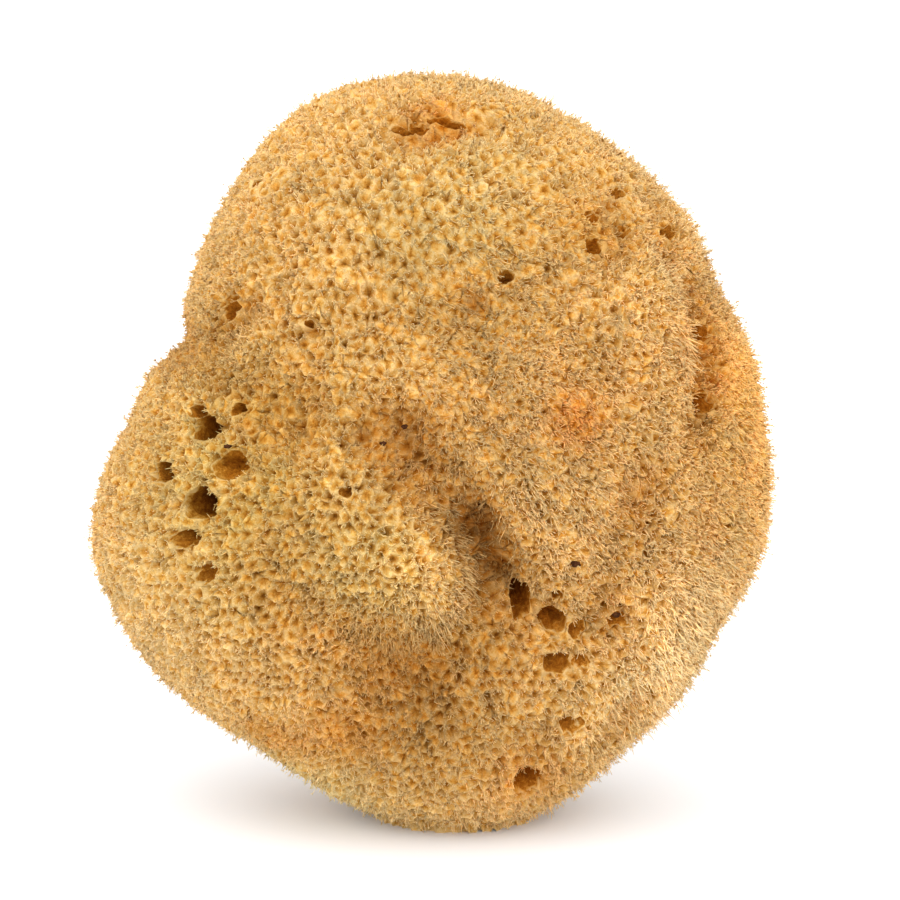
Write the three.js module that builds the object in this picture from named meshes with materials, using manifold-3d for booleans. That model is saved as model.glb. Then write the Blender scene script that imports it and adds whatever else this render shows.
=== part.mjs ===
// A natural honeycomb bath sponge, standing on the flat place where it was cut from its rock.
// Millimetres, +Z up. The origin is the middle of the cut, -Y is the front and +X is to the right.
import * as THREE from "three";
import { mergeVertices } from "three/addons/utils/BufferGeometryUtils.js";
import { ImprovedNoise } from "three/addons/math/ImprovedNoise.js";
import Module from "manifold-3d";

// The body is star-shaped about its middle: one reach in every direction. Its sections in depth are
// a little fuller than an ellipse, whose fullness would be 2.
const MIDDLE = new THREE.Vector3(-3, 1, 74);
const FRONT_DEPTH = 52;
const BACK_DEPTH = 48;
const FULLNESS = 2.3;

// The outline holds only near the edge of the body: over the front and back its notches are
// averaged away, and the higher the hold, the nearer to the edge.
const OUTLINE_HOLD = 8;
const SOFT_ANGLE = 0.45;
const SOFT_STEPS = 9;

// Divisions of the ball that the body is shaped from, and steps of the curve through each
// outline point.
const MESH_DETAIL = 16;
const OUTLINE_STEPS = 40;
const MERGE_DISTANCE = 1e-4;

// The outline from the front as [x, z], counter-clockwise from the right flank. It runs on under
// z = 0, where the sponge is cut off flat.
const OUTLINE = [
  [62.6, 66], [60.5, 84], [58.6, 94], [50, 110], [47.6, 118], [32, 134.5], [12, 146], [-4, 149.5],
  [-26, 145.8], [-37.3, 137.7], [-48, 122], [-54.8, 103], [-54, 96.8], [-61.6, 90.3],
  [-67, 78], [-71.4, 70.5], [-73.8, 54], [-69, 41.7], [-57, 25.5], [-38.5, 13.3], [-20.2, 1.6],
  [-1, -3.3], [18, 1], [34, 14.3], [46.4, 27], [52.3, 38.8], [60.5, 52.5],
];

// Broad unevenness all over: the size of its waves and how far they rise.
const WAVES = [{ length: 34, rise: 3.4 }, { length: 14, rise: 1.8 }];
const WAVE_START = new THREE.Vector3(240, 70, 230);

// Lobes swell out of the body and furrows sink into it. Each follows [x, z] points on one side.
// Width is its half width, rise its height, and steep how sharp its edges are.
const FRONT = -1;
const BACK = 1;
const LOBES_AND_FURROWS = [
  // The tongue in the middle, the dark cleft round its tip, and the brown hollow under the cleft
  { side: FRONT, along: [[-22, 73], [-13, 60]], width: 14, rise: 4.5, steep: 3 },
  { side: FRONT, along: [[-13, 85], [-8, 78], [0, 71], [6, 62], [7, 54]], width: 5.5, rise: -7, steep: 2.5 },
  { side: FRONT, along: [[-8, 37], [1, 43], [11, 45]], width: 8, rise: -3, steep: 2 },
  // The valley that runs in from the notch, and the full lobe below it
  { side: FRONT, along: [[-52, 98], [-41, 91], [-29, 86]], width: 6, rise: -3.5, steep: 2 },
  { side: FRONT, along: [[-51, 50], [-38, 42]], width: 16, rise: 2.5, steep: 2 },
  // The ledge of tufts down the right flank and the groove behind it
  { side: FRONT, along: [[37, 108], [39, 97], [38, 84]], width: 8, rise: 2, steep: 4 },
  { side: FRONT, along: [[46, 110], [48, 98], [46, 84]], width: 4, rise: -4.5, steep: 2 },
  // Grooves at the upper right, the long hole at the upper left and the groove on the crown
  { side: FRONT, along: [[31, 129], [31.5, 119]], width: 4, rise: -3.5, steep: 2 },
  { side: FRONT, along: [[39, 126], [41.5, 117]], width: 4, rise: -3.5, steep: 2 },
  { side: FRONT, along: [[-47, 102], [-41, 109]], width: 3.5, rise: -5, steep: 2 },
  { side: FRONT, along: [[-10, 140], [-2, 142], [6, 142]], width: 3.5, rise: -4.5, steep: 2 },
  // The pale lobe at the lower right, the grooves either side of it and the hollow of the pores
  { side: FRONT, along: [[39, 52], [38, 40]], width: 9, rise: 2.5, steep: 2 },
  { side: FRONT, along: [[30, 52], [31, 44]], width: 4, rise: -3.5, steep: 2 },
  { side: FRONT, along: [[35, 32], [30, 23]], width: 3.5, rise: -4, steep: 2 },
  { side: FRONT, along: [[15, 50], [22, 42]], width: 10, rise: -2.5, steep: 2 },
  { side: FRONT, along: [[8, 18], [17, 23]], width: 4, rise: -2.5, steep: 2 },
  { side: FRONT, along: [[36, 76], [35, 72]], width: 4, rise: -2.5, steep: 2 },
  // The hidden side: three full lobes with furrows between them
  { side: BACK, along: [[-42, 62], [-26, 44]], width: 17, rise: 4, steep: 2 },
  { side: BACK, along: [[24, 108], [34, 88]], width: 16, rise: 4, steep: 2 },
  { side: BACK, along: [[-16, 118], [-28, 112]], width: 15, rise: 3, steep: 2 },
  { side: BACK, along: [[-50, 92], [-28, 86], [-6, 92], [4, 108]], width: 5, rise: -5, steep: 2 },
  { side: BACK, along: [[14, 74], [28, 60], [46, 56]], width: 5, rise: -5, steep: 2 },
  { side: BACK, along: [[-4, 62], [4, 46], [-2, 30]], width: 4.5, rise: -4.5, steep: 2 },
  { side: BACK, along: [[16, 130], [32, 124]], width: 3.5, rise: -4, steep: 2 },
];

// The large water holes, at [x, z] on one side. Most are nearly round and go a few radii deep.
const HOLES = [
  // The group on the shoulder at the left
  { side: FRONT, at: [-57, 75], radius: 2, depth: 9 },
  { side: FRONT, at: [-49, 70], radius: 2.9, depth: 12 },
  { side: FRONT, at: [-48, 84], radius: 2.3, depth: 10 },
  { side: FRONT, at: [-50, 87], radius: 1.3, depth: 4 },
  { side: FRONT, at: [-42, 88], radius: 1.2, depth: 4 },
  { side: FRONT, at: [-43, 78], radius: 2.7, depth: 4 },
  { side: FRONT, at: [-52, 63], radius: 1.9, depth: 5, stretch: 1.5, turn: 0.2 },
  { side: FRONT, at: [-48, 57], radius: 1.9, depth: 3.5 },
  // Small ones over the middle and the dome
  { side: FRONT, at: [-21, 75], radius: 1, depth: 3.5 },
  { side: FRONT, at: [-18, 84], radius: 1.6, depth: 3 },
  { side: FRONT, at: [9, 114], radius: 1.4, depth: 5 },
  { side: FRONT, at: [3, 109], radius: 1.7, depth: 3.5 },
  { side: FRONT, at: [-28, 105], radius: 1, depth: 3.5 },
  { side: FRONT, at: [-39, 130], radius: 1.3, depth: 4, stretch: 1.8, turn: 0.9 },
  { side: FRONT, at: [-44, 106], radius: 2, depth: 6 },
  { side: FRONT, at: [-6, 141], radius: 1.9, depth: 5, stretch: 1.5 },
  // The row at the upper right and the pits behind the ledge
  { side: FRONT, at: [26, 124], radius: 2, depth: 5 },
  { side: FRONT, at: [26, 119], radius: 2, depth: 5 },
  { side: FRONT, at: [31, 128], radius: 1.7, depth: 4 },
  { side: FRONT, at: [31.5, 121], radius: 1.8, depth: 5 },
  { side: FRONT, at: [41, 120], radius: 1.8, depth: 4 },
  { side: FRONT, at: [47, 101], radius: 2, depth: 4 },
  { side: FRONT, at: [47, 88], radius: 1.8, depth: 4 },
  // The group at the lower right
  { side: FRONT, at: [12, 52], radius: 2.2, depth: 10, stretch: 1.5, turn: 1.57 },
  { side: FRONT, at: [18, 48], radius: 2.2, depth: 8 },
  { side: FRONT, at: [23, 46], radius: 1.9, depth: 5 },
  { side: FRONT, at: [19, 53], radius: 1.2, depth: 4 },
  { side: FRONT, at: [19, 39.5], radius: 2.3, depth: 7 },
  { side: FRONT, at: [23.5, 39.5], radius: 1.5, depth: 4 },
  { side: FRONT, at: [22, 26], radius: 1.9, depth: 5 },
  { side: FRONT, at: [14, 13], radius: 2.7, depth: 7 },
  { side: FRONT, at: [30.5, 47], radius: 1.7, depth: 5 },
  // The hidden side: a group on each lobe
  { side: BACK, at: [-46, 70], radius: 2.6, depth: 10 },
  { side: BACK, at: [-39, 64], radius: 2.1, depth: 8 },
  { side: BACK, at: [-42, 55], radius: 2.8, depth: 11 },
  { side: BACK, at: [-32, 58], radius: 1.6, depth: 6 },
  { side: BACK, at: [-28, 47], radius: 2.2, depth: 8 },
  { side: BACK, at: [-50, 48], radius: 1.7, depth: 5 },
  { side: BACK, at: [20, 104], radius: 2.7, depth: 11 },
  { side: BACK, at: [29, 98], radius: 2.2, depth: 8 },
  { side: BACK, at: [24, 91], radius: 1.6, depth: 6 },
  { side: BACK, at: [35, 104], radius: 1.9, depth: 6 },
  { side: BACK, at: [-24, 116], radius: 2.3, depth: 9 },
  { side: BACK, at: [-16, 108], radius: 1.7, depth: 6 },
  { side: BACK, at: [10, 24], radius: 2.2, depth: 7 },
  { side: BACK, at: [26, 36], radius: 2.4, depth: 8 },
  { side: BACK, at: [-12, 28], radius: 1.8, depth: 6 },
  { side: BACK, at: [4, 78], radius: 1.8, depth: 6 },
];
const HOLE_LEAN = 0.35;
const HOLE_SIDES = 8;

// A hole's section as shares of its radius and its depth, from its bottom to its rim, and how far
// the cut runs on above the surface.
const HOLE_SECTION = [[0, -1], [0.55, -0.9], [0.85, -0.5]];
const HOLE_MOUTH = 1.3;
const HOLE_ABOVE = 5;

// The block below the cut
const BLOCK_WIDTH = 200;
const BLOCK_HEIGHT = 60;

const SPONGE_COLOUR = 0xcb9a5b;

// The outline as a smooth closed curve, then as reaches from the middle sorted by angle.
const outlineCurve = new THREE.CatmullRomCurve3(
  OUTLINE.map(([x, z]) => new THREE.Vector3(x, MIDDLE.y, z)), true, "centripetal",
);
const outlineSteps = outlineCurve.getPoints(OUTLINE_STEPS * OUTLINE.length)
  .map((p) => p.sub(MIDDLE))
  .map((p) => ({ angle: Math.atan2(p.z, p.x), reach: p.length() }))
  .sort((a, b) => a.angle - b.angle);

function outlineReach(angle) {
  const after = outlineSteps.findIndex((step) => step.angle > angle);
  return outlineSteps[after < 0 ? 0 : after].reach;
}

// The outline with its notches averaged away, for the parts of the body far from it.
function softReach(angle) {
  let sum = 0;
  for (let step = -SOFT_STEPS; step <= SOFT_STEPS; step++) {
    const turned = angle + (step / SOFT_STEPS) * SOFT_ANGLE;
    sum += outlineReach(Math.atan2(Math.sin(turned), Math.cos(turned)));
  }
  return sum / (2 * SOFT_STEPS + 1);
}

// How far the plain body reaches from its middle, without waves, lobes or furrows.
function bodyReach(direction) {
  const across = Math.hypot(direction.x, direction.z);
  const angle = Math.atan2(direction.z, direction.x);
  const reach = THREE.MathUtils.lerp(softReach(angle), outlineReach(angle), across ** OUTLINE_HOLD);
  const depth = direction.y < 0 ? FRONT_DEPTH : BACK_DEPTH;
  const sum = (across / reach) ** FULLNESS + (Math.abs(direction.y) / depth) ** FULLNESS;
  return sum ** (-1 / FULLNESS);
}

// The point of the plain body's front or back that shows at [x, z].
function onBody([x, z], side) {
  const dx = x - MIDDLE.x;
  const dz = z - MIDDLE.z;
  const share = Math.min(Math.hypot(dx, dz) / outlineReach(Math.atan2(dz, dx)), 1);
  const depth = side === FRONT ? FRONT_DEPTH : BACK_DEPTH;
  return new THREE.Vector3(x, MIDDLE.y + side * depth * (1 - share ** FULLNESS) ** (1 / FULLNESS), z);
}

const noise = new ImprovedNoise();

function waves(point) {
  const from = point.clone().sub(MIDDLE).add(WAVE_START);
  return WAVES.reduce((sum, { length, rise }) =>
    sum + rise * noise.noise(from.x / length, from.y / length, from.z / length), 0);
}

const ridges = LOBES_AND_FURROWS.map(({ side, along, ...form }) =>
  ({ points: along.map((at) => onBody(at, side)), ...form }));

function distanceToPath(point, path) {
  const nearest = new THREE.Vector3();
  let least = Infinity;
  for (let i = 1; i < path.length; i++) {
    new THREE.Line3(path[i - 1], path[i]).closestPointToPoint(point, true, nearest);
    least = Math.min(least, nearest.distanceTo(point));
  }
  return least;
}

function lobesAndFurrows(point) {
  return ridges.reduce((sum, { points, width, rise, steep }) =>
    sum + rise * Math.exp(-((distanceToPath(point, points) / width) ** steep)), 0);
}

// The finished surface: the waves fade towards the outline, which is true as it stands.
function surfacePoint(direction) {
  const plain = direction.clone().multiplyScalar(bodyReach(direction)).add(MIDDLE);
  const fade = 1 - Math.hypot(direction.x, direction.z) ** OUTLINE_HOLD;
  return plain.addScaledVector(direction, waves(plain) * fade + lobesAndFurrows(plain));
}

// manifold-3d joins and cuts; its solids come from and go back to plain indexed geometry.
const wasm = await Module();
wasm.setup();

function solidOf(geometry) {
  const bare = geometry.clone();
  bare.deleteAttribute("normal");
  bare.deleteAttribute("uv");
  const merged = mergeVertices(bare, MERGE_DISTANCE);
  return new wasm.Manifold(new wasm.Mesh({
    numProp: 3,
    vertProperties: Float32Array.from(merged.attributes.position.array),
    triVerts: Uint32Array.from(merged.index.array),
  }));
}

function geometryOf(solid) {
  const { vertProperties, triVerts } = solid.getMesh();
  const geometry = new THREE.BufferGeometry();
  geometry.setAttribute("position", new THREE.BufferAttribute(vertProperties, 3));
  geometry.setIndex(new THREE.BufferAttribute(triVerts, 1));
  geometry.computeVertexNormals();
  return geometry;
}

function bodySolid() {
  const ball = mergeVertices(new THREE.IcosahedronGeometry(1, MESH_DETAIL).deleteAttribute("uv")
    .deleteAttribute("normal"));
  const place = ball.attributes.position;
  const direction = new THREE.Vector3();
  for (let i = 0; i < place.count; i++) {
    direction.fromBufferAttribute(place, i).normalize();
    place.setXYZ(i, ...surfacePoint(direction));
  }
  return solidOf(ball);
}

// A water hole narrows a little to a round bottom, and leans towards the side that it is seen from.
function holeSolid({ side, at, radius, depth, stretch = 1.15, turn = at[0] + at[1] }) {
  const points = HOLE_SECTION.map(([out, down]) => new THREE.Vector2(out * radius, down * depth));
  points.push(new THREE.Vector2(HOLE_MOUTH * radius, HOLE_ABOVE), new THREE.Vector2(0, HOLE_ABOVE));
  const outward = onBody(at, side).sub(MIDDLE).normalize();
  const mouth = surfacePoint(outward);
  const axis = outward.clone().add(new THREE.Vector3(0, side * HOLE_LEAN, 0)).normalize();
  const upright = new THREE.Vector3(0, 1, 0);
  return solidOf(new THREE.LatheGeometry(points, HOLE_SIDES)
    .scale(stretch, 1, 1)
    .rotateY(turn)
    .applyQuaternion(new THREE.Quaternion().setFromUnitVectors(upright, axis))
    .translate(...mouth));
}

const belowCut = solidOf(new THREE.BoxGeometry(BLOCK_WIDTH, BLOCK_WIDTH, BLOCK_HEIGHT)
  .translate(0, 0, -BLOCK_HEIGHT / 2));
const spongeSolid = HOLES.map(holeSolid)
  .reduce((solid, hole) => solid.subtract(hole), bodySolid().subtract(belowCut));

const sponge = new THREE.Mesh(
  geometryOf(spongeSolid),
  new THREE.MeshStandardMaterial({ color: SPONGE_COLOUR, roughness: 1, metalness: 0 }),
);
sponge.name = "sponge";

const model = new THREE.Group();
model.add(sponge);

export default model;
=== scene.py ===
import math

import bpy
import numpy as np
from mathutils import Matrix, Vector
from mathutils.bvhtree import BVHTree
from mathutils.kdtree import KDTree


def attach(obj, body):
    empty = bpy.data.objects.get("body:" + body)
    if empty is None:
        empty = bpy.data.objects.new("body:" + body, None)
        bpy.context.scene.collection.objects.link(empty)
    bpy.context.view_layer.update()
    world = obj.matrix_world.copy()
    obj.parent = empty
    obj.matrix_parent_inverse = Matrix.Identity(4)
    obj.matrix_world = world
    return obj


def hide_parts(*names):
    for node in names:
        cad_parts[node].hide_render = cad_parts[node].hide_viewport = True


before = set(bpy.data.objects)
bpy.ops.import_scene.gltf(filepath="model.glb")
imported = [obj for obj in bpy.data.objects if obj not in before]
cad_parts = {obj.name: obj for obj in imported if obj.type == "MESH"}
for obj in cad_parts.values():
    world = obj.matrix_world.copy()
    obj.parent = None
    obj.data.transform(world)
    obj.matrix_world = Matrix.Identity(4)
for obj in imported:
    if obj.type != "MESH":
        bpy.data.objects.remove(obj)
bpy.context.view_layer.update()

# The camera stands a little above the sponge's middle, at the photograph's angle, with a long
# lens. Its aim and distance give the photograph's frame, 180 mm across at the sponge.
aim = Vector((-0.0016, 0.001, 0.07405))
camera_rise = math.radians(9)
camera_distance = 0.675
camera_lens = 135
camera_nearest = 0.01
bpy.ops.object.camera_add(
    location=aim + camera_distance * Vector((0, -math.cos(camera_rise), math.sin(camera_rise))),
    rotation=(math.pi / 2 - camera_rise, 0, 0),
)
camera = bpy.context.object
camera.data.lens = camera_lens
camera.data.clip_start = camera_nearest
bpy.context.scene.camera = camera
bpy.context.scene.view_settings.view_transform = "Standard"

# The honeycomb: one springy body of spongin, grown as a piece, with a small pit at every point of
# an uneven net of six-sided cells, thin walls between the pits and a raised point, a conule,
# where three walls meet. The net is laid on the solid's form and evened out on it.
MERGE_DISTANCE = 1e-6
SHORTEST_VECTOR = 1e-12
NET_DIVISIONS = 6
NET_ROUNDS = 24
NET_KEPT, NET_MOVED = 0.4, 0.6
NET_PULL_POWER = 1.5
NET_JITTER = 0.00042
HOLE_DROP = 0.002
HOLE_FILL_ROUNDS = 2
DRIFT_WAVES = 6
WARP_WAVES = 3
WARP_PITCH = 0.7
WARP_SHARE = 0.25
DRIFT_GAIN = 1.6
PIT, CONULE, WALL = 0, 1, 2
PIT_INSET = 0.0023
CONULE_INSET = 0.0009
WALL_INSET = 0.0010
# For the pits, the conules and the walls in turn: what the right flank adds to the inset, and
# how much one inset differs from the next.
FLANK_INSETS = (0.0004, -0.0004, 0.0003)
SINGLE_UNEVEN = (0.3, 0.35, 0.25)
FLANK_START = 0.005
FLANK_WIDTH = 0.045
PATCH_UNEVEN = 0.3
PATCH_SIZE = 0.012
LEAST_UNEVEN, MOST_UNEVEN = 0.25, 1.8
SIDE_STEP = 0.00024
CUT_LEVEL = 0.0006
PIT_OVER_CUT = 0.0018
LOWEST_SKIN = 0.0002
# The frizz is a worn patch high on the front, where the pits are shallow.
FRIZZ_MIDDLE = (0.008, -0.045, 0.105)
FRIZZ_RADIUS = 0.032
FRIZZ_SHALLOW = 0.45
heart = Vector((-0.003, 0.001, 0.074))
dice = np.random.default_rng(7)

bpy.ops.object.select_all(action="DESELECT")
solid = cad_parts["sponge"].copy()
solid.data = solid.data.copy()
bpy.context.collection.objects.link(solid)
bpy.context.view_layer.objects.active = solid
solid.select_set(True)
bpy.ops.object.mode_set(mode="EDIT")
bpy.ops.mesh.select_all(action="SELECT")
bpy.ops.mesh.remove_doubles(threshold=MERGE_DISTANCE)
bpy.ops.object.mode_set(mode="OBJECT")


def places(mesh, what="co"):
    """Every point of a mesh, or its normal, as rows of x, y, z."""
    flat = np.empty(3 * len(mesh.vertices))
    mesh.vertices.foreach_get(what, flat)
    return flat.reshape(-1, 3)


def set_places(mesh, points):
    """Move every point of a mesh to its row of x, y, z."""
    mesh.vertices.foreach_set("co", points.ravel())
    mesh.update()


def unit(vectors):
    """Each row as a vector one long."""
    lengths = np.linalg.norm(vectors, axis=1, keepdims=True)
    return vectors / np.maximum(lengths, SHORTEST_VECTOR)


def tree_of(mesh):
    """A mesh's triangles, sorted so that rays can be cast at them."""
    mesh.calc_loop_triangles()
    return BVHTree.FromPolygons(
        [v.co for v in mesh.vertices], [t.vertices for t in mesh.loop_triangles]
    )


solid_tree = tree_of(solid.data)
bpy.data.objects.remove(solid)


def reach(directions):
    """How far the solid reaches from its heart in each direction."""
    return np.array([solid_tree.ray_cast(heart, Vector(d))[3] or 0.0 for d in directions])


bpy.ops.mesh.primitive_ico_sphere_add(subdivisions=NET_DIVISIONS, radius=1)
skin = bpy.context.object
skin.name = "honeycomb"
net_edges = np.array([e.vertices for e in skin.data.edges])
net_faces = np.array([p.vertices for p in skin.data.polygons])
pit_count = len(skin.data.vertices)
conule_count = len(net_faces)

neighbours = [[] for _ in range(pit_count)]
for a, b in net_edges:
    neighbours[a].append(b)
    neighbours[b].append(a)
# The twelve points with five neighbours list one of them twice.
neighbours = np.array([n if len(n) == 6 else n + n[:1] for n in neighbours])


def on_form(directions):
    """Points on the solid's form in these directions, with its water holes filled."""
    far = reach(directions)
    for _ in range(HOLE_FILL_ROUNDS):
        typical = np.median(far[neighbours], axis=1)
        far = np.where(typical - far > HOLE_DROP, typical, far)
    return np.array(heart) + directions * far[:, None]


net = on_form(unit(places(skin.data)))
for _ in range(NET_ROUNDS):
    around = net[neighbours]
    pull = np.linalg.norm(around - net[:, None], axis=2, keepdims=True) ** NET_PULL_POWER
    net = NET_KEPT * net + NET_MOVED * (around * pull).sum(1) / pull.sum(1)
    net = on_form(unit(net - np.array(heart)))
net = on_form(unit(net - np.array(heart) + dice.normal(0, NET_JITTER, net.shape)))
set_places(skin.data, net)
level_tree = tree_of(skin.data)
net_outward = places(skin.data, "normal")

bpy.ops.object.mode_set(mode="EDIT")
bpy.ops.mesh.select_mode(type="EDGE")
bpy.ops.mesh.select_all(action="SELECT")
bpy.ops.mesh.poke()
bpy.ops.mesh.select_all(action="DESELECT")
bpy.ops.object.mode_set(mode="OBJECT")
for edge in skin.data.edges:
    edge.select = max(edge.vertices) < pit_count
bpy.ops.object.mode_set(mode="EDIT")
bpy.ops.mesh.subdivide(number_cuts=1, ngon=False)
bpy.ops.object.mode_set(mode="OBJECT")


def drift(points, wavelength, seed):
    """A smooth uneven value between about -1 and 1 that changes over the given distance."""
    waves = np.random.default_rng(seed)
    along = unit(waves.normal(size=(DRIFT_WAVES, 3))) * (2 * math.pi / wavelength)
    phase = waves.uniform(0, 2 * math.pi, DRIFT_WAVES)
    bend = points @ along[:WARP_WAVES].T * WARP_PITCH + phase[:WARP_WAVES]
    warp = np.sin(bend) * WARP_SHARE * wavelength
    return np.sin((points + warp) @ along.T + phase).mean(axis=1) * DRIFT_GAIN


level = places(skin.data)
outward = places(skin.data, "normal")
kind = np.full(len(level), WALL)
kind[:pit_count] = PIT
kind[pit_count:pit_count + conule_count] = CONULE
on_cut = level[:, 2] < CUT_LEVEL

flank = np.clip((level[:, 0] - FLANK_START) / FLANK_WIDTH, 0, 1)
inset = np.array([PIT_INSET, CONULE_INSET, WALL_INSET])[kind]
inset = inset + np.array(FLANK_INSETS)[kind] * flank
uneven = 1 + PATCH_UNEVEN * drift(level, PATCH_SIZE, seed=3)
uneven = uneven + np.array(SINGLE_UNEVEN)[kind] * dice.normal(0, 1, len(level))
inset = inset * np.clip(uneven, LEAST_UNEVEN, MOST_UNEVEN)
frizz = np.exp(-((level - np.array(FRIZZ_MIDDLE)) ** 2).sum(axis=1) / FRIZZ_RADIUS ** 2)
inset = inset * (1 - FRIZZ_SHALLOW * (kind == PIT) * frizz)
shaped = level - outward * inset[:, None]
side_step = dice.normal(0, SIDE_STEP, level.shape)
shaped += np.where((kind != PIT)[:, None], side_step, 0)
height_on_cut = np.where(kind == PIT, PIT_OVER_CUT, 0)
shaped[:, 2] = np.where(on_cut, height_on_cut, np.maximum(shaped[:, 2], LOWEST_SKIN))
set_places(skin.data, shaped)

# The water holes: about fifty round canals through which the living sponge let its water out. Each
# is a smooth cavity with amber walls and a torn rim, cut into the honeycomb as one set. The large
# ones lie in groups on the lobes, and smaller ones are spread over the rest of the body.
MM = 0.001
FRONT = -1
BACK = 1
WELL_OUTSIDE = 0.2
CUTTER_SIDES = 18
CUTTER_RINGS = 12
HOLE_LEAN = 0.35
HOLE_WARP = 0.16
HOLE_WARP_SIZE = 1.6
HOLE_ROUGHNESS = 0.04
MOUTH_WIDENING = 1.2
# The mesh keeps how deep each point lies: 0 on a conule, 1 in a pit and up to 2.4 in a hole. The
# spongin's colour darkens with this depth, which is painted shade in the pits and holes.
DEPTH_OF_KIND = (1.0, 0.0, 0.1)
DEPTH_AT_MOUTH = 0.8
DEPTH_PER_MM = 0.13
MOUTH_TOP = 0.1
HOLES = [
    # side, x, z, radius and depth in mm, stretch, turn in radians
    (FRONT, -57, 75, 2.0, 9, 1.1, 0.4),
    (FRONT, -49, 70, 2.9, 12, 1.1, 0.0),
    (FRONT, -48, 84, 2.3, 10, 1.1, 1.0),
    (FRONT, -50, 87, 1.3, 4, 1.1, 0.0),
    (FRONT, -42, 88, 1.2, 4, 1.1, 0.0),
    (FRONT, -43, 78, 2.7, 4, 1.2, 0.3),
    (FRONT, -52, 63, 1.9, 5, 1.5, 0.2),
    (FRONT, -48, 57, 1.9, 3.5, 1.3, 0.8),
    (FRONT, -21, 75, 1.0, 3.5, 1.1, 0.0),
    (FRONT, 9, 114, 1.3, 4, 1.1, 0.0),
    (FRONT, -28, 105, 0.8, 2.5, 1.1, 0.0),
    (FRONT, -39, 130, 1.3, 4, 1.8, 0.9),
    (FRONT, -44, 106, 1.8, 3.5, 1.3, 0.9),
    (FRONT, -9, 140.5, 1.5, 4, 2.2, 0.2),
    (FRONT, -2, 141.5, 1.5, 4, 2.2, -0.1),
    (FRONT, 26, 124, 1.7, 3, 1.1, 0.0),
    (FRONT, 26, 119, 1.8, 3.5, 1.1, 0.7),
    (FRONT, 31, 128, 1.5, 3, 1.1, 0.0),
    (FRONT, 31.5, 121, 1.6, 3, 1.1, 0.0),
    (FRONT, 41, 120, 1.8, 4, 1.1, 0.0),
    (FRONT, 47, 101, 2.0, 4, 1.1, 0.0),
    (FRONT, 47, 88, 1.8, 4, 1.1, 0.0),
    (FRONT, 12, 52, 2.1, 8, 1.5, 1.57),
    (FRONT, 18, 48, 2.1, 5.5, 1.1, 0.0),
    (FRONT, 23, 46, 1.8, 3.5, 1.1, 0.5),
    (FRONT, 19, 53, 1.2, 4, 1.1, 0.0),
    (FRONT, 19, 39.5, 2.2, 4, 1.2, 0.0),
    (FRONT, 23.5, 39.5, 1.5, 3, 1.1, 0.0),
    (FRONT, 22, 26, 1.9, 3.5, 1.1, 0.3),
    (FRONT, 14, 13, 2.6, 5, 1.1, 0.0),
    (FRONT, 30.5, 47, 1.7, 3.5, 1.1, 0.0),
    (BACK, -46, 70, 2.6, 10, 1.1, 0.0),
    (BACK, -39, 64, 2.1, 8, 1.1, 0.5),
    (BACK, -42, 55, 2.8, 11, 1.1, 0.0),
    (BACK, -32, 58, 1.6, 6, 1.1, 0.0),
    (BACK, -28, 47, 2.2, 8, 1.2, 0.8),
    (BACK, -50, 48, 1.7, 5, 1.1, 0.0),
    (BACK, 20, 104, 2.7, 11, 1.1, 0.0),
    (BACK, 29, 98, 2.2, 8, 1.1, 0.4),
    (BACK, 24, 91, 1.6, 6, 1.1, 0.0),
    (BACK, 35, 104, 1.9, 6, 1.2, 0.0),
    (BACK, -24, 116, 2.3, 9, 1.1, 0.0),
    (BACK, -16, 108, 1.7, 6, 1.1, 0.0),
    (BACK, 10, 24, 2.2, 7, 1.1, 0.0),
    (BACK, 26, 36, 2.4, 8, 1.1, 0.6),
    (BACK, -12, 28, 1.8, 6, 1.1, 0.0),
    (BACK, 4, 78, 1.8, 6, 1.1, 0.0),
]


def on_skin(side, x, z):
    """The point of the level surface at x and z, in millimetres, on the front or the back."""
    start = Vector((x * MM, side * WELL_OUTSIDE, z * MM))
    return level_tree.ray_cast(start, Vector((0, -side, 0)))[0]


bpy.ops.object.select_all(action="DESELECT")
cavities = []
cutters = []
for side, x, z, radius, depth, stretch, turn in HOLES:
    mouth = on_skin(side, x, z)
    axis = (mouth - heart).normalized() + Vector((0, side * HOLE_LEAN, 0))
    facing = axis.normalized().to_track_quat("Z", "Y")
    bpy.ops.mesh.primitive_uv_sphere_add(
        segments=CUTTER_SIDES, ring_count=CUTTER_RINGS, radius=1
    )
    cutter = bpy.context.object
    shape = places(cutter.data)
    warped = drift(shape + dice.normal(size=3), HOLE_WARP_SIZE, seed=9)
    shape *= 1 + HOLE_WARP * warped[:, None]
    shape *= 1 + HOLE_ROUGHNESS * dice.normal(size=(len(shape), 1))
    inward = DEPTH_AT_MOUTH - depth * DEPTH_PER_MM * np.clip(shape[:, 2], -1, MOUTH_TOP)
    kept_depth = cutter.data.attributes.new("depth", "FLOAT", "POINT")
    kept_depth.data.foreach_set("value", inward)
    widths = np.array([stretch * radius, radius / math.sqrt(stretch), depth]) * MM
    widths[:2] *= MOUTH_WIDENING
    turned = np.array([
        [math.cos(turn), -math.sin(turn), 0],
        [math.sin(turn), math.cos(turn), 0],
        [0, 0, 1],
    ])
    frame_of_hole = np.array(facing.to_matrix()) @ turned
    set_places(cutter.data, shape * widths @ frame_of_hole.T + np.array(mouth))
    cavities.append((np.array(mouth), frame_of_hole, widths))
    cutters.append(cutter)
for cutter in cutters:
    cutter.select_set(True)
bpy.context.view_layer.objects.active = cutters[0]
bpy.ops.object.join()
cutter = bpy.context.object

depth_on_skin = np.array(DEPTH_OF_KIND)[kind]
tone_on_skin = dice.normal(0, 1, len(level))
for name, values in (("depth", depth_on_skin), ("tone", tone_on_skin)):
    attribute = skin.data.attributes.new(name, "FLOAT", "POINT")
    attribute.data.foreach_set("value", values)

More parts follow.
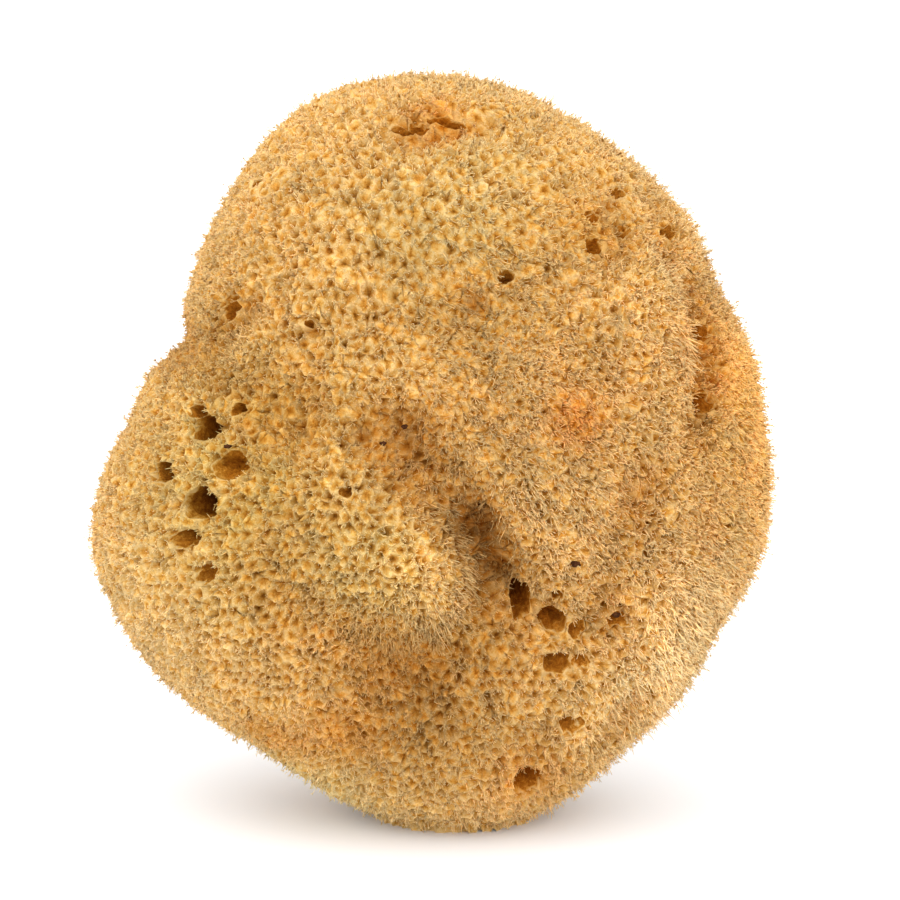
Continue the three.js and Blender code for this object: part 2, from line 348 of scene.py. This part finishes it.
cut = skin.modifiers.new("water holes", "BOOLEAN")
cut.operation = "DIFFERENCE"
cut.object = cutter
cut.solver = "MANIFOLD"
bpy.ops.object.select_all(action="DESELECT")
bpy.context.view_layer.objects.active = skin
skin.select_set(True)
bpy.ops.object.modifier_apply(modifier=cut.name)
bpy.data.objects.remove(cutter)
bpy.ops.object.shade_flat()

# The stains, painted shade and painted light: the photograph's broad changes of colour, laid over
# the honeycomb and the tufts alike. They are darker and browner in the furrows, from dirt and
# painted shade, and paler on the lobes, from wear and painted light. The list adds one orange patch
# and brown stains, painted shade in the cleft, under the tongue and at two holes that are not cut,
# and painted light on the low sides and on the tongue's tip.
STAINS_SHADE_AND_LIGHT = [
    # side, x, z and radius in mm, red, green, blue
    (FRONT, -45, 76, 26, 0.91, 0.98, 0.88),
    (FRONT, -18, 60, 15, 1.04, 1.14, 1.22),
    (FRONT, 22, 88, 5.5, 1.0, 0.72, 0.42),
    (FRONT, -9, 84, 8, 0.86, 0.76, 0.68),
    # the next two: painted shade in the cleft to the right of the tongue
    (FRONT, 3, 68, 6, 0.42, 0.29, 0.19),
    (FRONT, 7, 59, 6, 0.44, 0.31, 0.20),
    # the next two: painted shade where two small water holes are not cut
    (FRONT, 3, 109, 3, 0.62, 0.45, 0.30),
    (FRONT, -18, 84, 3, 0.62, 0.48, 0.34),
    # painted shade under the tongue
    (FRONT, 0, 39, 14, 0.76, 0.70, 0.62),
    (FRONT, -25, 72, 20, 0.90, 0.86, 0.80),
    # painted shade under the tongue
    (FRONT, -14, 44, 12, 0.88, 0.78, 0.64),
    (FRONT, -36, 22, 9, 1.0, 0.80, 0.55),
    (FRONT, -22, 25, 9, 0.92, 0.74, 0.50),
    (FRONT, -5, 141, 7, 0.98, 0.72, 0.42),
    (FRONT, 47, 96, 10, 1.0, 0.86, 0.66),
    (FRONT, 58, 84, 22, 1.08, 1.00, 0.76),
    # the next two: painted light on the lower right
    (FRONT, 46, 52, 20, 1.10, 1.16, 1.26),
    (FRONT, 38, 34, 16, 1.10, 1.20, 1.40),
    # painted light on the tip of the tongue
    (FRONT, 2, 45, 6, 1.05, 1.10, 1.15),
    (FRONT, 14, 14, 8, 1.0, 0.82, 0.60),
    (FRONT, 26, 122, 9, 0.98, 0.85, 0.62),
    # the next two: painted light low on the left side
    (FRONT, -30, 10, 20, 1.04, 1.20, 1.40),
    (FRONT, -60, 45, 22, 1.04, 1.12, 1.30),
    (FRONT, -10, 62, 9, 1.05, 1.08, 1.05),
    (FRONT, 0, 125, 30, 0.90, 0.97, 1.02),
    # painted shade under the tongue
    (FRONT, -6, 24, 15, 0.78, 0.72, 0.64),
    (BACK, -40, 60, 16, 1.05, 0.96, 0.80),
    (BACK, 24, 98, 15, 0.94, 0.84, 0.70),
    (BACK, 0, 80, 9, 0.75, 0.62, 0.48),
    (BACK, 20, 30, 14, 0.90, 0.80, 0.68),
    (BACK, 8, 118, 6, 1.00, 0.76, 0.50),
    (BACK, -28, 112, 18, 1.04, 1.10, 1.15),
    (BACK, -8, 50, 12, 1.04, 1.10, 1.15),
]
TINT_PATCH_FALL = 1.2
TINT_PATCH_UNEVEN = 0.3
TINT_PATCH_SIZE = 0.009
# Dirt and painted shade: furrows, where the net sinks below an eased copy of itself, are tinted
# darker and browner. Ridges are tinted paler, from wear and painted light.
HOLLOW_ROUNDS = 45
HOLLOW_KEPT, HOLLOW_EASED = 0.3, 0.7
HOLLOW_FULL = 0.0022
HOLLOW_WANDER = 0.0003
HOLLOW_WANDER_SIZE = 0.006
HOLLOW_DIRT_AND_SHADE_TINT = (0.90, 0.80, 0.66)
RIDGE_WEAR_AND_LIGHT_TINT = (1.04, 1.06, 1.10)
NOISE_LOW, NOISE_HIGH = 0.3, 0.7
TONE_STRENGTH = 0.11
CLOUD_SIZE = 0.011
CLOUD_DARK, CLOUD_LIGHT = 0.92, 1.08
DEEPEST = 2.5

eased = net
for _ in range(HOLLOW_ROUNDS):
    eased = HOLLOW_KEPT * eased + HOLLOW_EASED * eased[neighbours].mean(axis=1)
hollow = ((eased - net) * net_outward).sum(axis=1)
hollow -= np.median(hollow)
net_points = KDTree(pit_count)
for index, point in enumerate(net):
    net_points.insert(point, index)
net_points.balance()


def tint_at(points):
    """The colour of the stains, the painted shade and the painted light at each point: one, where
    there is none.
    """
    nearest = [net_points.find(point)[1] for point in points]
    sunk = hollow[nearest] + HOLLOW_WANDER * drift(points, HOLLOW_WANDER_SIZE, seed=12)
    in_hollow = np.clip(sunk / HOLLOW_FULL, 0, 1)[:, None]
    on_ridge = np.clip(-sunk / HOLLOW_FULL, 0, 1)[:, None]
    tint = 1 + in_hollow * (np.array(HOLLOW_DIRT_AND_SHADE_TINT) - 1)
    tint = tint + on_ridge * (np.array(RIDGE_WEAR_AND_LIGHT_TINT) - 1)
    for side, x, z, radius, *colour in STAINS_SHADE_AND_LIGHT:
        middle = np.array(on_skin(side, x, z))
        spread = np.linalg.norm(points - middle, axis=1) / (radius * MM)
        patchy = 1 + TINT_PATCH_UNEVEN * drift(points, TINT_PATCH_SIZE, seed=11)
        amount = np.exp(-TINT_PATCH_FALL * spread ** 2) * patchy
        tint *= 1 + np.clip(amount, 0, 1)[:, None] * (np.array(colour) - 1)
    return tint


def keep_tint(mesh, tint):
    """Keep the colour of the stains, the painted shade and the painted light at each point of a
    mesh.
    """
    kept = mesh.attributes.new("tint", "FLOAT_COLOR", "POINT")
    kept.data.foreach_set("color", np.column_stack([tint, np.ones(len(tint))]).ravel())


keep_tint(skin.data, tint_at(places(skin.data)))


def feed(tree, socket, value):
    """Link a socket to another node's output, or set it to a plain value."""
    if isinstance(value, bpy.types.NodeSocket):
        tree.links.new(value, socket)
    else:
        socket.default_value = value


def calculate(tree, operation, first, second):
    """A Math node's result."""
    made = tree.nodes.new("ShaderNodeMath")
    made.operation = operation
    feed(tree, made.inputs[0], first)
    feed(tree, made.inputs[1], second)
    return made.outputs[0]


def grain(tree, size, low, high, roughness=0.5, distortion=0):
    """Noise of a given grain size in metres, spread from a low value to a high one."""
    at = tree.nodes.new("ShaderNodeTexCoord")
    noise = tree.nodes.new("ShaderNodeTexNoise")
    feed(tree, noise.inputs["Vector"], at.outputs["Object"])
    feed(tree, noise.inputs["Scale"], 1 / size)
    feed(tree, noise.inputs["Roughness"], roughness)
    feed(tree, noise.inputs["Distortion"], distortion)
    spread = tree.nodes.new("ShaderNodeMapRange")
    feed(tree, spread.inputs["Value"], noise.outputs["Fac"])
    feed(tree, spread.inputs["From Min"], NOISE_LOW)
    feed(tree, spread.inputs["From Max"], NOISE_HIGH)
    feed(tree, spread.inputs["To Min"], low)
    feed(tree, spread.inputs["To Max"], high)
    return spread.outputs["Result"]


def kept_value(tree, name, output="Fac"):
    """A value or colour that the mesh keeps at its points."""
    made = tree.nodes.new("ShaderNodeAttribute")
    made.attribute_name = name
    return made.outputs[output]


def colour_run(tree, value, colours):
    """A colour ramp's result, from rows of a position and its colour."""
    ramp = tree.nodes.new("ShaderNodeValToRGB")
    feed(tree, ramp.inputs["Fac"], value)
    while len(ramp.color_ramp.elements) < len(colours):
        ramp.color_ramp.elements.new(0.5)
    for element, (position, colour) in zip(ramp.color_ramp.elements, colours):
        element.position = position
        element.color = (*colour, 1)
    return ramp.outputs["Color"]


# The shared tint: stains, painted shade and painted light from the kept tint, with a random tone
# and clouds.
stains_shade_and_light = bpy.data.node_groups.new("stained fibre", "ShaderNodeTree")
stains_shade_and_light.interface.new_socket("Color", in_out="INPUT", socket_type="NodeSocketColor")
stains_shade_and_light.interface.new_socket("Color", in_out="OUTPUT", socket_type="NodeSocketColor")
clean_colour = stains_shade_and_light.nodes.new("NodeGroupInput").outputs["Color"]
tinted = stains_shade_and_light.nodes.new("ShaderNodeMix")
tinted.data_type = "RGBA"
tinted.blend_type = "MULTIPLY"
tinted.inputs["Factor"].default_value = 1
# A Mix node's two colours are its inputs 6 and 7, and the mixed colour is its output 2.
feed(stains_shade_and_light, tinted.inputs[6], clean_colour)
feed(stains_shade_and_light, tinted.inputs[7], kept_value(stains_shade_and_light, "tint", "Color"))
single = calculate(stains_shade_and_light, "MULTIPLY", kept_value(stains_shade_and_light, "tone"), TONE_STRENGTH)
clouds = grain(stains_shade_and_light, CLOUD_SIZE, CLOUD_DARK, CLOUD_LIGHT)
lightness = calculate(stains_shade_and_light, "MULTIPLY", clouds, calculate(stains_shade_and_light, "ADD", single, 1))
shaded = stains_shade_and_light.nodes.new("ShaderNodeVectorMath")
shaded.operation = "SCALE"
feed(stains_shade_and_light, shaded.inputs[0], tinted.outputs[2])
feed(stains_shade_and_light, shaded.inputs["Scale"], lightness)
stains_shade_and_light_out = stains_shade_and_light.nodes.new("NodeGroupOutput").inputs["Color"]
feed(stains_shade_and_light, stains_shade_and_light_out, shaded.outputs["Vector"])


def new_finish(name):
    """A dull material, its tree and its shader."""
    material = bpy.data.materials.new(name)
    material.use_nodes = True
    shader = material.node_tree.nodes["Principled BSDF"]
    shader.inputs["Roughness"].default_value = 1
    shader.inputs["Specular IOR Level"].default_value = 0
    return material, material.node_tree, shader


def through_stains_shade_and_light(tree, colour, socket):
    """Send a colour through the stains, the painted shade and the painted light to a shader's
    colour.
    """
    group = tree.nodes.new("ShaderNodeGroup")
    group.node_tree = stains_shade_and_light
    feed(tree, group.inputs["Color"], colour)
    feed(tree, socket, group.outputs["Color"])


spongin, tree, shader = new_finish("spongin")
coarse = grain(tree, size=0.0013, low=-0.3, high=0.3, roughness=0.6, distortion=0.4)
fine = grain(tree, size=0.0004, low=-0.25, high=0.25, roughness=0.7, distortion=1)
ragged = calculate(tree, "ADD", coarse, fine)
ragged_depth = calculate(tree, "ADD", kept_value(tree, "depth"), ragged)
# The colour by depth: pale on the conules and amber down the pit walls, as the spongin is, then
# darker to brown at the pit bottoms and near black deep in the water holes, which is painted shade.
through_stains_shade_and_light(tree, colour_run(tree, calculate(tree, "DIVIDE", ragged_depth, DEEPEST), [
    (0, (0.75, 0.50, 0.21)),
    (0.05, (0.73, 0.46, 0.17)),
    (0.13, (0.68, 0.39, 0.11)),
    (0.26, (0.62, 0.29, 0.05)),
    (0.42, (0.40, 0.145, 0.014)),
    (0.65, (0.20, 0.055, 0.006)),
    (1, (0.05, 0.014, 0.003)),
]), shader.inputs["Base Color"])
knots = grain(tree, size=0.00045, low=0, high=1, roughness=0.6, distortion=1.5)
rough = tree.nodes.new("ShaderNodeBump")
feed(tree, rough.inputs["Strength"], 0.9)
feed(tree, rough.inputs["Distance"], 0.0003)
feed(tree, rough.inputs["Height"], knots)
feed(tree, shader.inputs["Normal"], rough.outputs["Normal"])
skin.data.materials.clear()
skin.data.materials.append(spongin)

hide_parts("sponge")
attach(skin, "root")

# The tufts: frayed ends of the skeleton's fibres, fine as hair. Half lie matted every way along the
# walls between the pits, a quarter are bent ends that fork off other fibres, and the rest lean
# together on the conules, but for a few long loose wisps.
TUFT_PIECES = 4
FIBRES_IN_PIECE = 49000
SPARE_FIBRES = 1.08
MAT_SHARE = 0.5
HOOK_SHARE = 0.25
WISP_SHARE = 0.02
FIBRE_WIDTH = 0.00012
TIP_WIDTH = 0.00006
FIBRE_LENGTH = 0.0016
SHORTEST_SHARE = 0.4
# Fibres are shorter on the left lobes than on the right flank, across a wandering line.
LENGTH_IN_MIDDLE = 0.92
LENGTH_TO_RIGHT = 0.16
RIGHT_REACH = 0.035
LINE_WANDER = 0.006
LINE_WANDER_SIZE = 0.03
FALL = (0.25, 0, -0.6)
FALL_LEAN = 0.35
FALL_PATCH_SIZE = 0.02
FIBRE_SINK = 0.0003
LOWEST_TIP = 0.0001
HOLE_MARGIN = 0.0002
# How a matted fibre lies: how far down into a pit, how deep its root, and how it spreads.
MAT_DOWN, MAT_DOWN_MOST = 0.12, 0.3
MAT_SINK = 0.6
MAT_SPLAY = 0.8
MAT_RISE = (0.3, 0.9)
MAT_LENGTH = 0.75
# The same of a fibre in a conule's tuft, a bent end and a wisp.
TUFT_SPREAD = 0.6
TUFT_RISE = 0.6
TUFT_SPLAY = 0.3
HOOK_START = 0.75
HOOK_BEND = 1.1
HOOK_LENGTH = 0.45
WISP_LENGTH = (1.2, 2)
WISP_SPLAY = 0.5
LIT_THROUGH_SHARE = 0.4
# The brims: the tongue's edge, the ledge, the flanks and other places with longer, leaning fibres.
BRIMS = [
    # side, x, z and radius in mm, added length, lean across, lean up
    (FRONT, -4, 72, 4, 0.9, 0.7, -0.4),
    (FRONT, 0, 64, 4, 1.2, 0.9, -0.5),
    (FRONT, 2, 56, 4, 1.2, 0.9, -0.6),
    (FRONT, -4, 49, 5, 0.8, 0.2, -0.9),
    (FRONT, -14, 46, 6, 0.5, -0.1, -0.9),
    (FRONT, 42, 112, 6, 0.7, 0.2, -0.8),
    (FRONT, 43, 100, 6, 0.8, 0.3, -0.8),
    (FRONT, 56, 80, 14, 0.5, 0.4, -0.5),
    (FRONT, 46, 48, 14, 0.7, 0.3, -0.4),
    (FRONT, 34, 28, 12, 0.6, 0.3, -0.5),
    (FRONT, 6, 112, 26, 0.4, 0.5, -0.3),
    (FRONT, 20, 76, 20, 0.4, 0.4, -0.4),
    (BACK, 34, 62, 18, 0.4, 0.4, -0.4),
    (BACK, -22, 92, 20, 0.4, -0.2, -0.5),
    (BACK, 0, 128, 16, 0.3, 0.1, -0.6),
]


def in_cavity(points, margin):
    """Which points lie in a water hole's cavity, or within the margin of it."""
    inside = np.zeros(len(points), bool)
    for mouth, frame_of_hole, widths in cavities:
        scaled = (points - mouth) @ frame_of_hole / (widths + margin)
        inside |= np.linalg.norm(scaled, axis=1) < 1
    return inside


def tufts(name, roots, tips, tones):
    """Fibres as thin closed slivers, an edge at the root of each and a crossed edge at its tip."""
    count = len(roots)
    run = unit(tips - roots)
    across = unit(np.cross(run, dice.normal(size=run.shape)))
    over = np.cross(run, across)
    points = np.empty((count, 4, 3))
    points[:, 0] = roots - FIBRE_WIDTH * across
    points[:, 1] = roots + FIBRE_WIDTH * across
    points[:, 2] = tips - TIP_WIDTH * over
    points[:, 3] = tips + TIP_WIDTH * over
    sides = np.array([[0, 1, 3], [1, 0, 2], [0, 3, 2], [1, 2, 3]])
    loops = (np.arange(count)[:, None, None] * 4 + sides).ravel()
    mesh = bpy.data.meshes.new(name)
    mesh.vertices.add(4 * count)
    mesh.vertices.foreach_set("co", points.ravel())
    mesh.loops.add(len(loops))
    mesh.loops.foreach_set("vertex_index", loops)
    mesh.polygons.add(len(loops) // 3)
    mesh.polygons.foreach_set("loop_start", np.arange(0, len(loops), 3))
    mesh.update(calc_edges=True)
    along = mesh.attributes.new("along", "FLOAT", "POINT")
    along.data.foreach_set("value", np.tile([0.0, 0.0, 1.0, 1.0], count))
    tone = mesh.attributes.new("tone", "FLOAT", "POINT")
    tone.data.foreach_set("value", np.repeat(tones, 4))
    keep_tint(mesh, np.repeat(tint_at(roots), 4, axis=0))
    piece = bpy.data.objects.new(name, mesh)
    bpy.context.collection.objects.link(piece)
    return piece


frayed, tree, shader = new_finish("frayed fibre")
thin = tree.nodes.new("ShaderNodeBsdfTranslucent")
through_stains_shade_and_light(tree, (0.94, 0.64, 0.25, 1), thin.inputs["Color"])
# Each fibre is darker at its root than at its tip: partly the fibres' own colour, partly painted
# shade at the roots down among the walls.
through_stains_shade_and_light(tree, colour_run(tree, kept_value(tree, "along"), [
    (0, (0.82, 0.53, 0.18)),
    (0.4, (0.92, 0.67, 0.30)),
    (1, (0.95, 0.79, 0.44)),
]), shader.inputs["Base Color"])
lit_through = tree.nodes.new("ShaderNodeMixShader")
feed(tree, lit_through.inputs["Fac"], LIT_THROUGH_SHARE)
feed(tree, lit_through.inputs[1], shader.outputs["BSDF"])
feed(tree, lit_through.inputs[2], thin.outputs["BSDF"])
feed(tree, tree.nodes["Material Output"].inputs["Surface"], lit_through.outputs["Shader"])

total = TUFT_PIECES * FIBRES_IN_PIECE
spare = int(total * SPARE_FIBRES)
standing = np.flatnonzero(~on_cut[pit_count:pit_count + conule_count])
conule = dice.choice(standing, spare)
corner = dice.integers(0, 3, spare)
one = net_faces[conule, corner]
other = net_faces[conule, (corner + 1) % 3]
up = outward[pit_count + conule]
top = shaped[pit_count + conule]
saddle = (net[one] + net[other]) / 2 - up * WALL_INSET
along_wall = dice.uniform(0, 1, (spare, 1))
down_side = np.minimum(np.abs(dice.normal(0, MAT_DOWN, (spare, 1))), MAT_DOWN_MOST)
crest = top + (saddle - top) * along_wall
to_right = top[:, :1] + LINE_WANDER * drift(top, LINE_WANDER_SIZE, seed=6)[:, None]
to_right = np.clip(to_right / RIGHT_REACH, -1, 1)
length = FIBRE_LENGTH * (LENGTH_IN_MIDDLE + LENGTH_TO_RIGHT * to_right)
length = length * dice.uniform(SHORTEST_SHARE, 1, (spare, 1))
lean = FALL_LEAN * np.array(FALL) * (1 + drift(top, FALL_PATCH_SIZE, seed=5))[:, None]
for side, x, z, radius, added, across, upward in BRIMS:
    far = np.linalg.norm(top - np.array(on_skin(side, x, z)), axis=1) / (radius * MM)
    near = np.exp(-far ** 2)[:, None]
    length = length * (1 + added * near)
    lean = lean + near * np.array([across, 0, upward])
lean = lean - up * (up * lean).sum(axis=1, keepdims=True)
splay = dice.normal(size=crest.shape)

mat_root = crest + (shaped[one] - crest) * down_side - up * MAT_SINK * FIBRE_SINK
mat_rise = up * dice.uniform(*MAT_RISE, (spare, 1))
mat_tip = mat_root + MAT_LENGTH * length * unit(MAT_SPLAY * unit(splay) + lean + mat_rise)
tuft_root = top + (saddle - top) * TUFT_SPREAD * along_wall - up * FIBRE_SINK
tuft_tip = top + length * TUFT_RISE * up + length * (lean + TUFT_SPLAY * splay)
role = dice.uniform(0, 1, (spare, 1))
root = np.where(role < MAT_SHARE, mat_root, tuft_root)
tip = np.where(role < MAT_SHARE, mat_tip, tuft_tip)
wisp_reach = length * dice.uniform(*WISP_LENGTH, (spare, 1))
wisp_tip = top + wisp_reach * unit(up + lean + WISP_SPLAY * splay)
tip = np.where(role > 1 - WISP_SHARE, wisp_tip, tip)
hook = np.flatnonzero((role[:, 0] > MAT_SHARE) & (role[:, 0] < MAT_SHARE + HOOK_SHARE))
stem = dice.choice(np.flatnonzero(role[:, 0] > MAT_SHARE + HOOK_SHARE), len(hook))
root[hook] = root[stem] + HOOK_START * (tip[stem] - root[stem])
bent = unit(tip[stem] - root[stem]) + HOOK_BEND * unit(splay[hook])
tip[hook] = root[hook] + HOOK_LENGTH * length[hook] * unit(bent)
tip[:, 2] = np.maximum(tip[:, 2], LOWEST_TIP)
root[:, 2] = np.maximum(root[:, 2], LOWEST_TIP + FIBRE_WIDTH)

# The kept fibres are sorted by their direction round the middle, so each piece is one sector.
kept = np.flatnonzero(~in_cavity(root, HOLE_MARGIN))[:total]
kept = kept[np.argsort(np.arctan2(root[kept, 1], root[kept, 0]))]
tones = dice.normal(0, 1, spare)
for part, chosen in enumerate(np.array_split(kept, TUFT_PIECES), 1):
    piece = tufts(f"tufts_{part}", root[chosen], tip[chosen], tones[chosen])
    piece.data.materials.append(frayed)
    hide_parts("sponge")
    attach(piece, "root")

# The grit: a few dark crumbs of shell and weed from the sea floor. They hang in the fibres, each
# sunk a little below the level of the tufts, and the washing has not freed them.
GRIT = [
    # x, z, half length and half width in mm
    (22, 60, 0.9, 0.6),
    (30, 48.8, 0.8, 0.5),
    (-43.5, 81.3, 0.8, 0.4),
    (-14, 83, 0.6, 0.4),
    (-10, 86, 0.6, 0.4),
]
GRIT_SINK = 0.0002
GRIT_WARP = 0.3
GRIT_WARP_SIZE = 1.4
GRIT_DIVISIONS = 3
GRIT_GRAIN = 0.0006
bpy.ops.object.select_all(action="DESELECT")
crumbs = []
for x, z, long, wide in GRIT:
    bpy.ops.mesh.primitive_ico_sphere_add(subdivisions=GRIT_DIVISIONS, radius=1)
    crumb = bpy.context.object
    shape = places(crumb.data)
    warped = drift(shape + dice.normal(size=3), GRIT_WARP_SIZE, seed=15)
    shape *= 1 + GRIT_WARP * warped[:, None]
    shape *= np.array([long, wide, wide]) * MM
    spot = on_skin(FRONT, x, z)
    inwards = (heart - spot).normalized()
    set_places(crumb.data, shape + np.array(spot + GRIT_SINK * inwards))
    crumbs.append(crumb)
for crumb in crumbs:
    crumb.select_set(True)
bpy.context.view_layer.objects.active = crumbs[0]
bpy.ops.object.join()
grit = bpy.context.object
grit.name = "grit"
dark, tree, shader = new_finish("dark grit")
speckle = grain(tree, size=GRIT_GRAIN, low=0, high=1)
feed(tree, shader.inputs["Base Color"], colour_run(tree, speckle, [
    (0, (0.020, 0.008, 0.004)),
    (1, (0.080, 0.030, 0.012)),
]))
grit.data.materials.append(dark)

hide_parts("sponge")
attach(grit, "root")

# The floor and the light: a plain white floor that the light washes out, three wide soft lights in
# front, the strongest from the upper left, and an even white surround.
FLOOR_SIZE = 40
SURROUND_STRENGTH = 1.25
LIGHT_SPREAD = math.radians(80)
LIGHTS = [
    # name, tilt and turn in degrees, strength
    ("left light", 60, -38, 1.85),
    ("right light", 66, 45, 1.25),
    ("low light", 84, 28, 1.1),
]
bpy.ops.mesh.primitive_plane_add(size=FLOOR_SIZE)
floor = bpy.context.object
floor.name = "floor"
paper = bpy.data.materials.new("paper")
paper.use_nodes = True
paper_shader = paper.node_tree.nodes["Principled BSDF"]
paper_shader.inputs["Base Color"].default_value = (0.88, 0.90, 0.92, 1)
paper_shader.inputs["Roughness"].default_value = 1
floor.data.materials.append(paper)
for name, tilt, turn, strength in LIGHTS:
    bpy.ops.object.light_add(type="SUN", rotation=(math.radians(tilt), 0, math.radians(turn)))
    light = bpy.context.object
    light.name = name
    light.data.energy = strength
    light.data.angle = LIGHT_SPREAD
world = bpy.data.worlds.new("surround")
bpy.context.scene.world = world
world.use_nodes = True
background = world.node_tree.nodes["Background"]
background.inputs["Color"].default_value = (1, 0.99, 0.98, 1)
background.inputs["Strength"].default_value = SURROUND_STRENGTH
